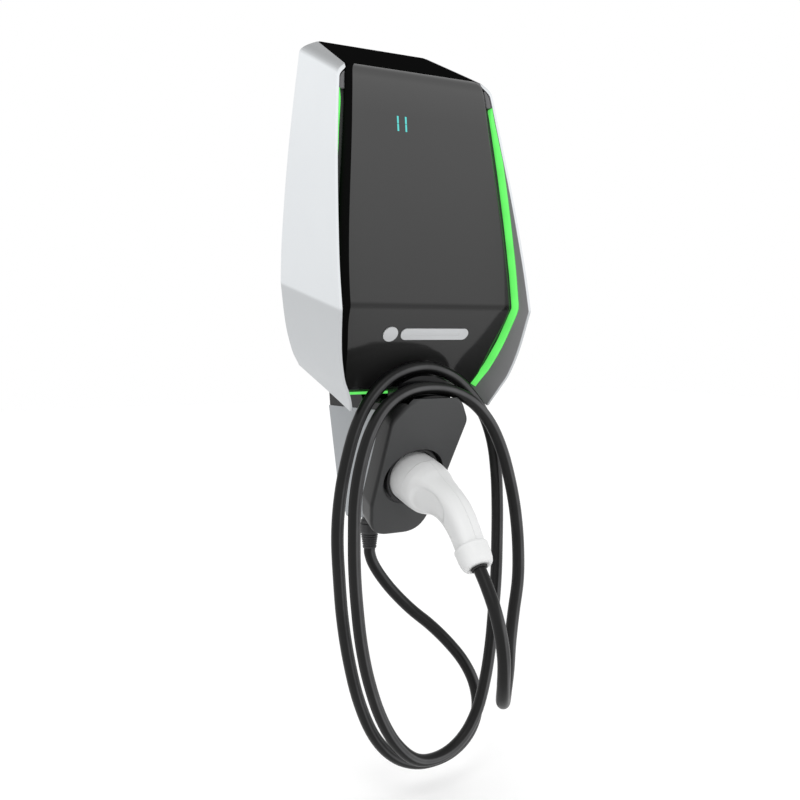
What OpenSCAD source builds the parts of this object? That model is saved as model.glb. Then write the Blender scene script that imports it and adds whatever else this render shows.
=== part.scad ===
// Wall-mounted charger for electric vehicles: a head with a lit front panel, a dock below it,
// and a tethered cable that hangs in two loops over a saddle.
// The frame's origin is the centre of the four wall screws, on the wall plane.
// +X is to the right, +Y goes into the wall, +Z is up.

/* [Head] */
// Height of the flat top edge at the wall, above the crease of the front panel
head_top = 308; // [300:1:312]
// Depth of the front panel at its crease
panel_depth = 130; // [128:1:132]
// Thickness of the side shells
shell_t = 3.5; // [3:0.5:4]
// Thickness of the rear housing's walls
wall_t = 3; // [2.5:0.5:3]
// Width of the light guide under the panel
guide_w = 7; // [6:0.5:7]
// Thickness of the light guides along the panel's sides
guide_t = 3.3; // [3:0.1:3.5]

/* [Wall mount] */
// Distance between the wall screws across
screw_span_x = 120; // [110:5:130]
// Distance between the wall screws up and down
screw_span_z = 200; // [190:5:210]
// Radius of the wall screw holes
wall_hole_r = 3.5; // [3:0.25:4]
// Radius of the bore that takes the supply cable
supply_r = 7; // [6:0.5:8]

/* [Dock] */
// Depth of the dock's bezel
bezel_t = 25; // [23:1:26]
// Radius of the dock's round recess
recess_r = 37; // [36:0.5:38]
// Inside radius of the cup that holds the connector
cup_r = 31; // [30.6:0.2:31.4]
// Depth of that cup
cup_depth = 46; // [44:1:48]

/* [Connector and cable] */
// Radius of the connector's barrel
barrel_r = 30; // [29.5:0.25:30]
// How far the barrel sits in the dock
barrel_in = 42; // [40:1:43]
// How far the barrel stands out before the handle begins
barrel_out = 26; // [22:1:28]
// Diameter of the cable
cable_d = 13.8; // [13:0.2:14]

/* [Hidden] */

big = 400;
white = "#e8ebee";
black = "#161719";
graphite = "#4a4b4d";

// The heights in this file are counted from the panel's crease, which is this far below the
// frame's origin.
origin_above_crease = 110;
module placed() translate([0, 0, -origin_above_crease]) children();

// ---- small helpers ----
module across(half) rotate([90, 0, 90]) linear_extrude(2 * half, center = true) children();
module facing(y0, y1) translate([0, y1, 0]) rotate([90, 0, 0]) linear_extrude(y1 - y0) children();
module right_half() translate([0, -big, -big]) cube([big, 2 * big, 3 * big]);
module box_between(a, b) translate(a) cube(b - a);
module screw(r, head_r, length, head) {
    cylinder(r = r, h = length, $fn = 24);
    translate([0, 0, length]) difference() {
        cylinder(r = head_r, h = head, $fn = 32);
        translate([0, 0, head - 1.2]) cylinder(r = head_r * 0.45, h = 2, $fn = 6);
    }
}

// ---- outlines of the head ----
// Side line of the black ribbon: the top, the rounded edge, the front and the slope below.
top_slope = 0.5;
ribbon = [[40, head_top + 20], [-97, head_top - 48.5], [-103, 251], [-108.5, 216],
    [-panel_depth, 0], [-57.7, -128]];
function unit_normal(a, b) = let (d = b - a) [-d.y, d.x] / norm(d);
function inset_vertex(p, n1, n2, d) = p + (n1 + n2) * d / (1 + n1 * n2);
function inset_line(pts, d) = let (last = len(pts) - 1) [
    for (i = [0:last]) let (
        before = unit_normal(pts[max(i - 1, 0)], pts[max(i, 1)]),
        after = unit_normal(pts[min(i, last - 1)], pts[min(i + 1, last)])
    ) inset_vertex(pts[i], before, after, d)
];
function reversed(pts) = [for (i = [len(pts) - 1:-1:0]) pts[i]];
function stretch(pts, first, last) = [for (i = [first:last]) pts[i]];
module strip(first, last, near, far) across(150) polygon(concat(
    stretch(inset_line(ribbon, near), first, last),
    reversed(stretch(inset_line(ribbon, far), first, last))));
module top_strip(near, far) strip(0, 1, near, far);
module front_strip(near, far) strip(1, 5, near, far);
module behind_ribbon(d) across(150) polygon(concat(inset_line(ribbon, d), [[60, -200], [60, 400]]));

// The underside rises to the wall.
floor_at_wall = -64;
floor_slope = 0.413;
function floor_z(y) = floor_at_wall + floor_slope * y;
module above_floor(back, lift) across(150) polygon([
    [-back, big], [-200, big], [-200, floor_z(-200) + lift], [-back, floor_z(-back) + lift]
]);
module below_roof(d) let (drop = d * norm([1, top_slope]))
    across(150) polygon([[40, head_top + 20 - drop], [-200, head_top - 100 - drop],
        [-200, -big], [40, -big]]);

// Outline of the head, swept forward and down from the wall along the rake, and chamfered
// along the top by a plane on each side.
rake = atan(0.22);
head_side = [[94, 315], [95.5, 299], [103.5, 238], [110.8, 178], [116.5, 118],
    [120.2, 65], [121.2, 31], [116, -13], [107.5, -47], [98, -66], [90.5, -87], [86, -150]];
ribbon_back = 71.7;
ribbon_front = 86.6;
chamfer_edge = [ribbon_front - ribbon_back, -97, -48.5];
chamfer_fall = [23.8, 0, -9];
chamfer_normal = cross(chamfer_edge, chamfer_fall) / norm(cross(chamfer_edge, chamfer_fall));
module under_chamfer(t)
    translate([ribbon_back, 0, head_top] - t * chamfer_normal)
        rotate([0, acos(chamfer_normal.z), atan2(chamfer_normal.y, chamfer_normal.x)])
            translate([-big * 2, -big * 2, -big * 3]) cube([big * 4, big * 4, big * 3]);
function side_points(t, sign) = [for (p = head_side) [sign * (p.x - t), p.y * cos(rake)]];
module head_prism(t) intersection() {
    rotate([90 + rake, 0, 0]) translate([0, 0, -100]) linear_extrude(340)
        polygon(concat(side_points(t, 1), reversed(side_points(t, -1))));
    under_chamfer(t);
    mirror([1, 0, 0]) under_chamfer(t);
}

// Side view of the shells, whose front edges stand proud of the panel.
shell_side = [[-1, head_top - 0.5], [-97, head_top - 48.5], [-104, 250], [-110, 214.6],
    [-152.6, -2.9], [-124, -93], [-114, -111], [-1, floor_at_wall - 0.4]];

// Front view of the panel: half its width at each height.
panel_side = [[ribbon_back, head_top], [ribbon_front, 259], [91.5, 216], [110, 0], [101, -46], [92, -86],
    [88, -92]];
panel_foot = -92;
function widened(w) = [for (p = panel_side) [p.x + w, p.y]];
module panel_face(w, foot) polygon(concat(
    widened(w), [[88 + w, foot], [-88 - w, foot]], reversed([for (p = widened(w)) [-p.x, p.y]])));

// Places on the panel: the upper facet leans back, the lower one leans forward.
upper_lean = 21.5 / 216;
lower_lean = (panel_depth - 57.7) / 128;
module on_upper(x, z, depth) translate([x, upper_lean * z - panel_depth, z])
    rotate([-atan(upper_lean), 0, 0]) translate([0, depth, 0]) children();
module on_lower(x, z, depth) translate([x, -lower_lean * z - panel_depth, z])
    rotate([atan(lower_lean), 0, 0]) translate([0, depth, 0]) children();

// ---- frames of the dock and of the plug ----
dock_centre = [0, -95, -190];
dock_tilt = 120;
plug_tilt = 105;
module on_dock() translate(dock_centre) rotate([dock_tilt, 0, 0]) children();
module on_plug() translate(dock_centre) rotate([plug_tilt, 0, 0]) children();

// ---- cable routes: hand-picked points, counted from the crease ----
gland_at = [-16, -19, -250];
main_route = [
    [-16, -19, -284], [-16, -19, -290], [-13, -21, -302], [-5, -26, -318],
    [8, -33, -337], [27, -43, -359], [49, -55, -380], [68, -66, -402], [83, -76, -425],
    [92, -84, -450], [92, -91, -476],
    [80, -97, -498], [58, -102, -514], [29, -106, -521], [-5, -109, -518], [-36, -111, -502],
    [-61, -112, -473], [-79, -112, -432], [-91, -112, -386], [-99, -112, -338],
    [-103, -112, -292], [-105, -112, -246], [-102, -112, -206], [-94, -112, -166],
    [-81, -112, -126], [-62, -112, -95], [-34, -112, -73], [4, -112, -65], [38, -113, -75],
    [62, -115, -95], [80, -118, -120], [92, -119, -152], [97, -120, -188], [99, -120, -226],
    [99, -120, -266], [98, -120, -308], [94, -121, -350], [89, -122, -392], [80, -124, -432],
    [66, -126, -468], [45, -128, -493], [16, -130, -506], [-16, -132, -503], [-43, -133, -480],
    [-63, -133, -446], [-78, -133, -403], [-87, -133, -362], [-92, -133, -322],
    [-95, -133, -282], [-95, -132, -242], [-93, -131, -204], [-86, -131, -166],
    [-74, -131, -132], [-56, -131, -106], [-30, -131, -91], [0, -131, -87], [30, -132, -92],
    [56, -134, -106], [76, -137, -129], [89, -141, -158], [97, -146, -192], [101, -152, -228],
    [101, -158, -266], [96, -165, -304], [85, -172, -340]
];
tail_route = [
    [74, -181, -370], [62, -194, -395], [47, -210, -410], [31, -229, -413], [16, -247, -403],
    [7, -261, -381], [3, -267, -354], [1, -264, -328], [0, -254, -303], [0, -240, -283],
    [0, -228, -269], [0, -217, -256], [0, -206, -243]
];

// A closed skin over rings of points, with flat ends.
module skin(rings) {
    n = len(rings[0]);
    last = len(rings) - 1;
    polyhedron(
        points = [for (r = rings) each r],
        faces = concat(
            [[for (k = [0:n - 1]) k]],
            [for (i = [0:last - 1], k = [0:n - 1]) [i * n + k, (i + 1) * n + k,
                (i + 1) * n + (k + 1) % n, i * n + (k + 1) % n]],
            [[for (k = [n - 1:-1:0]) last * n + k]]
        )
    );
}
function unit(v) = v / norm(v);
function along(pts, i) = unit(pts[min(i + 1, len(pts) - 1)] - pts[max(i - 1, 0)]);
// Each ring's first axis is the one before it, turned as little as the route allows.
function carried(pts, i) = i == 0
    ? unit(cross(along(pts, 0), [0, 1, 0.1]))
    : let (t = along(pts, i), v = carried(pts, i - 1)) unit(v - t * (v * t));
function tube_rings(pts, r, sides) = [
    for (i = [0:len(pts) - 1]) let (t = along(pts, i), a = carried(pts, i), b = cross(t, a))
        [for (k = [0:sides - 1]) pts[i] + r * (cos(360 * k / sides) * a + sin(360 * k / sides) * b)]
];
cable_rings = tube_rings(concat(main_route, tail_route), cable_d / 2, 10);

// ================= head =================
bracket_x = 85;
bracket_low = -15;
bracket_high = 235;
bracket_t = 3;
screw_mid = origin_above_crease;
case_screws = [[-75, 0], [75, 0], [-75, 220], [75, 220]];

module wall_bracket() placed() color("#9a9ea3") difference() {
    box_between([-bracket_x, -bracket_t, bracket_low], [bracket_x, 0, bracket_high]);
    for (sx = [-1, 1], sz = [-1, 1])
        translate([sx * screw_span_x / 2, 1, screw_mid + sz * screw_span_z / 2])
            rotate([90, 0, 0]) cylinder(r = wall_hole_r, h = 10, $fn = 32);
    for (p = case_screws)
        translate([p.x, 1, p.y]) rotate([90, 0, 0]) cylinder(r = 2.5, h = 10, $fn = 32);
    translate([-35, -big / 2, 90]) cube([70, big, 70]);
}

housing_back = 3;
supply_at = [80, -34];
cover_screw_spots = [[-84, -62], [84, -62]];
module rear_housing() placed() color(graphite) difference() {
    intersection() {
        head_prism(shell_t + 0.5);
        behind_ribbon(9.5);
        above_floor(housing_back, 1.5);
    }
    intersection() {
        head_prism(shell_t + 0.5 + wall_t);
        above_floor(housing_back + wall_t, 1.5 + wall_t);
        below_roof(9.5 + wall_t);
    }
    for (p = case_screws)
        translate([p.x, 1, p.y]) rotate([90, 0, 0]) cylinder(r = 2.7, h = 10, $fn = 32);
    for (sx = [-1, 1], sz = [-1, 1])
        translate([sx * screw_span_x / 2, 1, screw_mid + sz * screw_span_z / 2])
            rotate([90, 0, 0]) cylinder(r = 7, h = 10, $fn = 32);
    translate([supply_at.x, supply_at.y, -120]) cylinder(r = 10, h = 80, $fn = 32);
    translate([gland_at.x, gland_at.y, -120]) cylinder(r = 10, h = 80, $fn = 32);
    for (p = cover_screw_spots)
        translate([p.x, p.y, floor_z(p.y) - 5]) cylinder(r = 2.7, h = 16, $fn = 24);
}

module beside_cover() translate([0, 0, -big]) linear_extrude(2 * big) polygon([
    [ribbon_back + 0.3, 1], [ribbon_front + 0.3, -97], [ribbon_front + 0.3, -200],
    [150, -200], [150, 1]]);
module side_shell() difference() {
    intersection() {
        head_prism(0);
        across(150) polygon(shell_side);
        beside_cover();
    }
    head_prism(shell_t);
}
module side_shell_right() placed() color(white) side_shell();
module side_shell_left() placed() color(white) mirror([1, 0, 0]) side_shell();

cover_t = 4;
module top_cover() placed() color(black) intersection() {
    top_strip(0, cover_t);
    box_between([-95, -120, 200], [95, -1, 400]);
    linear_extrude(big) polygon([[-ribbon_back, 0], [ribbon_back, 0],
        [ribbon_front, -97], [ribbon_front, -120], [-ribbon_front, -120], [-ribbon_front, -97]]);
}

panel_t = 4;
module front_panel() placed() color(black) difference() {
    intersection() {
        front_strip(0, panel_t);
        facing(-160, -60) panel_face(0, panel_foot);
    }
    difference() {
        box_between([-150, -200, -150], [150, 0, 251.5]);
        head_prism(shell_t + guide_t + guide_gap);
    }
}

frame_t = 3;
module front_frame() placed() color("#2a2b2d") difference() {
    intersection() {
        front_strip(panel_t + 1, panel_t + 1 + frame_t);
        head_prism(shell_t + guide_t + 0.4);
        above_floor(housing_back, 0.5);
    }
    on_upper(display_x, display_z, 0) translate([-15, 0, -10]) cube([30, 20, 20]);
}

gasket_t = 1.5;
module panel_gasket() placed() color("#303030") difference() {
    intersection() {
        front_strip(panel_t + 1 + frame_t, panel_t + 1 + frame_t + gasket_t);
        head_prism(shell_t + 1);
        above_floor(housing_back, 2);
    }
    intersection() {
        head_prism(shell_t + 5);
        box_between([-150, -200, -88], [150, 0, 240]);
    }
}

guide_top = 230;
guide_far = panel_t + 4;
guide_gap = 0.3;
module guide_band(gap) intersection() {
    front_strip(0, guide_far - gap);
    difference() { head_prism(shell_t + guide_gap); head_prism(shell_t + guide_t); }
}
module light_guide_right() placed() color("#63e663") intersection() {
    guide_band(0.1);
    box_between([20, -200, panel_foot + 4], [150, 0, guide_top]);
}
module light_guide_left() placed() color("#63e663") intersection() {
    guide_band(0.1);
    box_between([-150, -200, panel_foot + 4], [-20, 0, guide_top]);
}
module light_guide_bottom() placed() color("#63e663") intersection() {
    front_strip(0.5, panel_t + 1);
    head_prism(shell_t + guide_t + 0.3);
    box_between([-150, -200, panel_foot - guide_w], [150, 0, panel_foot - guide_gap]);
}
module guide_caps() placed() color("#7d8083") for (side = [0, 1]) mirror([side, 0, 0]) intersection() {
    guide_band(0.1);
    box_between([20, -200, guide_top + 0.3], [150, 0, 251]);
}

board_t = 1.6;
behind_frame = panel_t + 1 + frame_t + 0.1;
module led_strips() placed() color("#1f6b35") for (side = [0, 1]) mirror([side, 0, 0])
    intersection() {
        front_strip(behind_frame, behind_frame + board_t);
        difference() { head_prism(shell_t + 5.5); head_prism(shell_t + 14); }
        box_between([20, -200, -70], [150, 0, 214]);
    }

display_x = -24;
display_z = 199;
module display_board() placed() color("#1f6b35") on_upper(display_x, display_z, behind_frame) {
    translate([-22, 0, -14]) cube([44, board_t, 28]);
    translate([-14, -frame_t, -9]) cube([28, frame_t, 18]);
}

// Two seven-segment ones, the idle number on the display.
digit_h = 17;
module display_digits() placed() color("#4fd8e0") on_upper(display_x, display_z, -0.4)
    for (x = [-5, 5], half = [-1, 0])
        translate([x - 1, 0, half * digit_h / 2 + 0.3]) cube([2, 0.4, digit_h / 2 - 0.6]);

module badge() placed() color("#b8babc") on_lower(5, -28, 0) rotate([90, 0, 0]) {
    difference() {
        hull() for (x = [-26, 48]) translate([x, 0, 0]) cylinder(r = 7, h = 1.2, $fn = 32);
        translate([11, 0, 0.8]) linear_extrude(2) square([64, 2.4], center = true);
    }
    translate([-46, 0, 0]) cylinder(r = 9, h = 1.2, $fn = 48);
}

module reader_board() placed() color("#1f6b35") on_upper(0, 120, behind_frame) difference() {
    translate([-35, 0, -35]) cube([70, board_t, 70]);
    translate([-22, -1, -22]) cube([44, board_t + 2, 44]);
}

// ================= electronics =================
board_y = -18;
stud_x = 72;
board_studs = [[-stud_x, 50], [stud_x, 50], [-stud_x, 190], [stud_x, 190]];
board_front = board_y - board_t;
module main_board() placed() color("#1f6b35") difference() {
    box_between([-80, board_front, 42], [80, board_y, 198]);
    for (p = board_studs)
        translate([p.x, 0, p.y]) rotate([90, 0, 0]) cylinder(r = 2.2, h = 40, $fn = 24);
}
module board_relays() placed() color("#2b2f36") for (i = [0:3])
    box_between([-62 + i * 24, board_front - 24, 50], [-42 + i * 24, board_front, 80]);
module board_capacitors() placed() color("#28324a") for (i = [0:2])
    translate([-50 + i * 22, board_front, 175]) rotate([90, 0, 0])
        cylinder(r = 9, h = 30, $fn = 32);
module power_module() placed() color("#3a3d40")
    box_between([-60, board_front - 26, 100], [-5, board_front, 155]);
module board_screws() placed() color("#b5b8bb") for (p = board_studs)
    translate([p.x, -6, p.y]) rotate([90, 0, 0]) {
        difference() {
            cylinder(r = 4, h = -board_y - 6, $fn = 6);
            translate([0, 0, -1]) cylinder(r = 1.2, h = 6, $fn = 24);
        }
        translate([0, 0, -board_y - 6]) screw(2, 3.6, board_t, 2.4);
    }

selector_at = [30, 125];
module selector_base() placed() color("#2f6fb0")
    translate([selector_at.x, board_front, selector_at.y]) difference() {
        translate([-6, -6, -6]) cube([12, 6, 12]);
        translate([0, 1, 0]) rotate([90, 0, 0]) cylinder(r = 3.05, h = 10, $fn = 32);
    }
module current_selector() placed() color("#e0e0e0")
    translate([selector_at.x, board_front - 0.6, selector_at.y]) rotate([90, 0, 0])
        difference() {
            union() {
                cylinder(r = 3, h = 6, $fn = 32);
                translate([0, 0, 6]) cylinder(r = 5, h = 3, $fn = 32);
            }
            translate([-0.6, -4, 7.8]) cube([1.2, 8, 3]);
        }

button_at = [55, 125];
module button_base() placed() color("#2b2f36")
    translate([button_at.x, board_front, button_at.y]) difference() {
        translate([-6, -4, -6]) cube([12, 4, 12]);
        translate([0, 1, 0]) rotate([90, 0, 0]) cylinder(r = 2.05, h = 10, $fn = 32);
    }
module reset_button() placed() color("#c23b32")
    translate([button_at.x, board_front - 1.2, button_at.y]) rotate([90, 0, 0]) {
        cylinder(r = 2, h = 4, $fn = 32);
        translate([0, 0, 4]) cylinder(r = 3.4, h = 3, $fn = 32);
    }

rail_z = 12;
module din_rail() placed() color("#a9adb1") rotate([0, 90, 0]) linear_extrude(138, center = true)
    translate([-rail_z, -6.1]) polygon([[-11, 0], [11, 0], [11, -6], [17.5, -6], [17.5, -7.5],
        [9.5, -7.5], [9.5, -1.5], [-9.5, -1.5], [-9.5, -7.5], [-17.5, -7.5], [-17.5, -6], [-11, -6]]);
rail_front = -6.1 - 7.5;
module contactor() placed() color("#d8dadc") {
    box_between([-68, rail_front - 50, rail_z - 30], [-4, rail_front, rail_z + 26]);
    box_between([-62, rail_front - 56, rail_z - 14], [-10, rail_front - 50, rail_z + 14]);
}
module terminal_block() placed() color("#b9bcbf") for (i = [0:4]) difference() {
    box_between([2 + i * 13, rail_front - 36, rail_z - 22], [14.6 + i * 13, rail_front, rail_z + 22]);
    for (z = [-14, 14]) translate([8.3 + i * 13, rail_front - 30, rail_z + z])
        rotate([90, 0, 0]) cylinder(r = 3.6, h = 20, $fn = 24);
}
module terminal_screws() placed() color("#b5b8bb") for (i = [0:4], z = [-14, 14])
    translate([8.3 + i * 13, rail_front - 30, rail_z + z]) rotate([90, 0, 0]) difference() {
        cylinder(r = 3.4, h = 4, $fn = 24);
        translate([-4, -0.5, 2.8]) cube([8, 1, 3]);
    }
module fault_sensor() placed() color("#2b2f36") translate([gland_at.x, gland_at.y, -48])
    difference() {
        cylinder(r = 12.5, h = 12, $fn = 48);
        translate([0, 0, -1]) cylinder(r = 8, h = 20, $fn = 48);
    }

module supply_gland() placed() color("#2a2b2d") translate([supply_at.x, supply_at.y, 0])
    difference() {
        union() {
            translate([0, 0, -68]) cylinder(r = 9.6, h = 8, $fn = 48);
            translate([0, 0, -100]) cylinder(r = 11, h = 16, $fn = 48);
            translate([0, 0, -84]) cylinder(r = 9.6, h = 16, $fn = 48);
            translate([0, 0, -66]) cylinder(r = 12, h = 5, $fn = 6);
        }
        translate([0, 0, -120]) cylinder(r = supply_r, h = 100, $fn = 48);
    }

module bracket_screws() placed() color("#b5b8bb") for (p = case_screws)
    translate([p.x, -0.4, p.y]) rotate([90, 0, 0]) screw(2.4, 4.6, 5.6, 3.4);

// ================= neck and dock =================
collar_z = -112;
neck_wall = [[60.5, -112], [49, -207], [38, -246], [30, -250]];
neck_front = [[46, 76], [39, -38], [27, -70], [20, -77]];
back_of_bezel = -bezel_t;
dock_screw_spots = [[-26, -48], [26, -48], [-30, 60], [30, 60]];
module mirrored_outline(pts, t) polygon(concat(
    [for (p = pts) [p.x - t, p.y + (p.y < pts[0].y - 100 ? t : 0)]],
    reversed([for (p = pts) [t - p.x, p.y + (p.y < pts[0].y - 100 ? t : 0)]])));
module neck_loft(t, setback) hull() {
    translate([0, -1, 0]) rotate([90, 0, 0]) linear_extrude(0.5) mirrored_outline(neck_wall, t);
    on_dock() translate([0, 0, back_of_bezel - 0.6 - setback]) linear_extrude(0.5)
        mirrored_outline(neck_front, t);
}
module neck_shell() placed() color("#c3c8cc") difference() {
    intersection() {
        neck_loft(0, 0);
        box_between([-100, -200, -300], [100, -1, collar_z]);
    }
    intersection() {
        neck_loft(wall_t, wall_t);
        box_between([-100, -200, -300], [100, -4, collar_z + 10]);
    }
    translate([gland_at.x, gland_at.y, -270]) cylinder(r = 9.2, h = 40, $fn = 48);
    on_plug() translate([0, 0, -60]) cylinder(r = cup_r + 3.4, h = 100, $fn = 96);
    for (p = dock_screw_spots) on_dock()
        translate([p.x, p.y, -bezel_t - 8]) cylinder(r = 2.2, h = 10, $fn = 24);
}

module neck_collar() placed() color(black) difference() {
    intersection() {
        hull() {
            translate([0, -1, 0]) rotate([90, 0, 0]) linear_extrude(0.5)
                polygon([[-62, -60], [62, -60], [59, collar_z], [-59, collar_z]]);
            translate([0, -111, 0]) rotate([90, 0, 0]) linear_extrude(0.5)
                polygon([[-46, -60], [46, -60], [45, collar_z], [-45, collar_z]]);
        }
        across(150) polygon([[-1, floor_z(-1) - 0.2], [-64, floor_z(-64) - 0.2], [-68, -101],
            [-94, -104], [-112, -104], [-111, collar_z + 0.2], [-1, collar_z + 0.2]]);
    }
    box_between([-50, -70, -200], [50, -10, 0]);
}

saddle_half = 34;
module saddle_step(y0, y1, top, r, foot) intersection() {
    translate([0, y1, top - r]) rotate([90, 0, 0]) cylinder(r = r, h = y1 - y0, $fn = 96);
    box_between([-saddle_half, y0, foot], [saddle_half, y1, top]);
}
module cable_saddle() placed() color("#202123") {
    saddle_step(-119, -96, -74.5, 59, -103.8);
    saddle_step(-141, -119, -95.5, 79, -103.8);
}

bezel_face = [[31, 105], [40, 98], [49, 76], [49.5, 68], [43.5, -36], [40, -56], [30, -78], [20, -85]];
module bezel_outline(grow) polygon(concat(
    [for (p = bezel_face) [p.x + grow, p.y + (p.y < 0 ? -grow / 2 : 0)]],
    reversed([for (p = bezel_face) [-p.x - grow, p.y + (p.y < 0 ? -grow / 2 : 0)]])));
// The looped cable lies in a rebate behind the bezel's top edge.
module cable_rebate() translate([0, -100, -174.5]) rotate([90, 0, 0]) difference() {
    cylinder(r = 130, h = 40.5, $fn = 96);
    translate([0, 0, -1]) cylinder(r = 79.8, h = 50, $fn = 96);
}
module dock_bezel() placed() color(graphite) difference() {
    intersection() {
        on_dock() hull() {
            translate([0, 0, -1]) linear_extrude(1) bezel_outline(-2);
            translate([0, 0, -6]) linear_extrude(1) bezel_outline(1);
            translate([0, 0, -bezel_t]) linear_extrude(1) bezel_outline(0);
        }
        box_between([-100, -250, -400], [100, 50, -98]);
    }
    on_plug() translate([0, 0, -60]) cylinder(r = recess_r, h = 120, $fn = 96);
    box_between([-saddle_half - 1, -142, -104], [saddle_half + 1, -100, -90]);
    cable_rebate();
    for (p = dock_screw_spots) on_dock()
        translate([p.x, p.y, -bezel_t - 1]) cylinder(r = 2.1, h = 11, $fn = 24);
}

// The cup's floor leaves room behind the connector's nose.
module dock_cup() placed() color("#1e1f21") on_plug() difference() {
    union() {
        translate([0, 0, -cup_depth - 3]) cylinder(r = cup_r + 3, h = cup_depth + 3, $fn = 96);
        translate([0, 0, -16]) cylinder(r = recess_r - 0.2, h = 6, $fn = 96);
    }
    translate([0, 0, -cup_depth]) cylinder(r = cup_r, h = cup_depth + 10, $fn = 96);
}
module dock_screws() placed() color("#b5b8bb") on_dock() for (p = dock_screw_spots)
    translate([p.x, p.y, 9 - bezel_t]) rotate([180, 0, 0]) screw(2, 3.4, 12.9, 2.4);

module output_gland() placed() color("#1e1f21") translate([gland_at.x, gland_at.y, 0]) difference() {
    union() {
        translate([0, 0, -262]) cylinder(r = 9, h = 22, $fn = 48);
        translate([0, 0, -254]) cylinder(r = 11.5, h = 4, $fn = 6);
    }
    translate([0, 0, -300]) cylinder(r = cable_d / 2 + 0.05, h = 100, $fn = 48);
}
module output_gland_nut() placed() color("#1e1f21") translate([gland_at.x, gland_at.y, 0])
    difference() {
        union() {
            translate([0, 0, -264]) cylinder(r = 11.5, h = 9.5, $fn = 48);
            translate([0, 0, -284]) cylinder(r1 = 8, r2 = 11, h = 20, $fn = 48);
        }
        translate([0, 0, -262]) cylinder(r = 9.05, h = 20, $fn = 48);
        translate([0, 0, -300]) cylinder(r = cable_d / 2 + 0.05, h = 100, $fn = 48);
    }
module inner_lead() placed() color("#202124") translate([gland_at.x, gland_at.y, -284])
    cylinder(r = cable_d / 2, h = 256, $fn = 24);

module cover_screws() placed() color("#b5b8bb") for (p = cover_screw_spots)
    translate([p.x, p.y, floor_z(p.y) + 9]) rotate([0, 180, 0]) screw(2.4, 4, 9, 3);

// ================= connector =================
contact_ring = 11.5;
contact_spots = concat([[0, 0]], [for (a = [30, 90, 150, 210, 330])
    [contact_ring * cos(a), contact_ring * sin(a)]]);
module connector_barrel() placed() color("#e9eaeb") on_plug() difference() {
    translate([0, 0, -barrel_in]) cylinder(r = barrel_r, h = barrel_in + barrel_out, $fn = 96);
    translate([0, 0, -barrel_in - 1]) cylinder(r = barrel_r - 3, h = 36, $fn = 96);
    translate([0, 0, -barrel_in]) cylinder(r = barrel_r - 6, h = 200, $fn = 96);
}
module connector_insert() placed() color("#2a2b2d") on_plug() difference() {
    translate([0, 0, -barrel_in + 3]) cylinder(r = barrel_r - 6.05, h = 50, $fn = 96);
    for (p = contact_spots) translate([p.x, p.y, -barrel_in]) cylinder(r = 4.25, h = 100, $fn = 32);
}
module connector_contacts() placed() color("#c9b37a") on_plug() for (p = contact_spots)
    translate([p.x, p.y, -barrel_in + 6]) difference() {
        cylinder(r = 4.2, h = 44, $fn = 32);
        translate([0, 0, -1]) cylinder(r = 3, h = 30, $fn = 32);
    }

// Handle: centre line in the plane x = 0, then half its width and half its height.
handle_line = [
    [[-120.1, -196.7], 29.5, 29.5], [[-128, -199], 28.5, 28], [[-139, -201.5], 24, 25],
    [[-152, -204.5], 20.5, 22], [[-167, -209.5], 18.5, 20], [[-182, -217.5], 17.5, 19],
    [[-195, -229], 17, 18], [[-205, -241], 16.5, 17], [[-211, -249], 16.5, 16.5]
];
function squarish(c, k) = sign(c) * pow(abs(c), k);
function handle_ring(i, inset) = let (
    here = handle_line[i][0],
    a = handle_line[max(i - 1, 0)][0], b = handle_line[min(i + 1, len(handle_line) - 1)][0],
    u = unit(b - a), side = [u.y, -u.x],
    power = i < 2 ? 1 : 0.75
) [for (k = [0:23]) let (c = squarish(cos(15 * k), power), s = squarish(sin(15 * k), power),
    w = handle_line[i][1] - inset, h = handle_line[i][2] - inset)
    [c * w, here.x + s * h * side.x, here.y + s * h * side.y]];
module handle_solid(inset) skin([for (i = [0:len(handle_line) - 1]) handle_ring(i, inset)]);
handle_screw_spots = [[-158, -206], [-196, -230]];
module handle_shell() difference() {
    intersection() {
        handle_solid(0);
        translate([0.05, 0, 0]) right_half();
        on_plug() translate([0, 0, barrel_out + 0.1]) cylinder(r = 200, h = 300, $fn = 48);
    }
    handle_solid(3);
    for (p = handle_screw_spots)
        translate([-30, p.x, p.y]) rotate([0, 90, 0]) cylinder(r = 1.8, h = 60, $fn = 24);
}
module connector_shell_right() placed() color("#eceded") handle_shell();
module connector_shell_left() placed() color("#e6e7e8") mirror([1, 0, 0]) handle_shell();
module connector_screws() placed() color("#b5b8bb")
    for (p = handle_screw_spots)
        translate([-15, p.x, p.y]) rotate([0, 90, 0]) cylinder(r = 1.6, h = 30, $fn = 24);

collar_at = [0, -211, -249];
collar_tilt = 90 + 49.6;
module on_collar() translate(collar_at) rotate([collar_tilt, 0, 0]) children();
module connector_collar() placed() color("#e2e3e4") on_collar() difference() {
    union() {
        translate([0, 0, 1.6]) cylinder(r = 18, h = 4.4, $fn = 64);
        translate([0, 0, 6]) cylinder(r1 = 18, r2 = 13, h = 18, $fn = 64);
    }
    translate([0, 0, -5]) cylinder(r = cable_d / 2 + 2, h = 60, $fn = 48);
}
module connector_seal() placed() color("#2a2b2d") on_collar() difference() {
    translate([0, 0, -8]) cylinder(r = cable_d / 2 + 1.9, h = 34, $fn = 48);
    translate([0, 0, -20]) cylinder(r = cable_d / 2 + 0.1, h = 80, $fn = 48);
}

// ================= cable =================
split = len(main_route) - 1;
module cable_main() placed() color("#232427") skin(stretch(cable_rings, 0, split));
module cable_tail() placed() color("#232427") skin(stretch(cable_rings, split, len(cable_rings) - 1));

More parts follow.
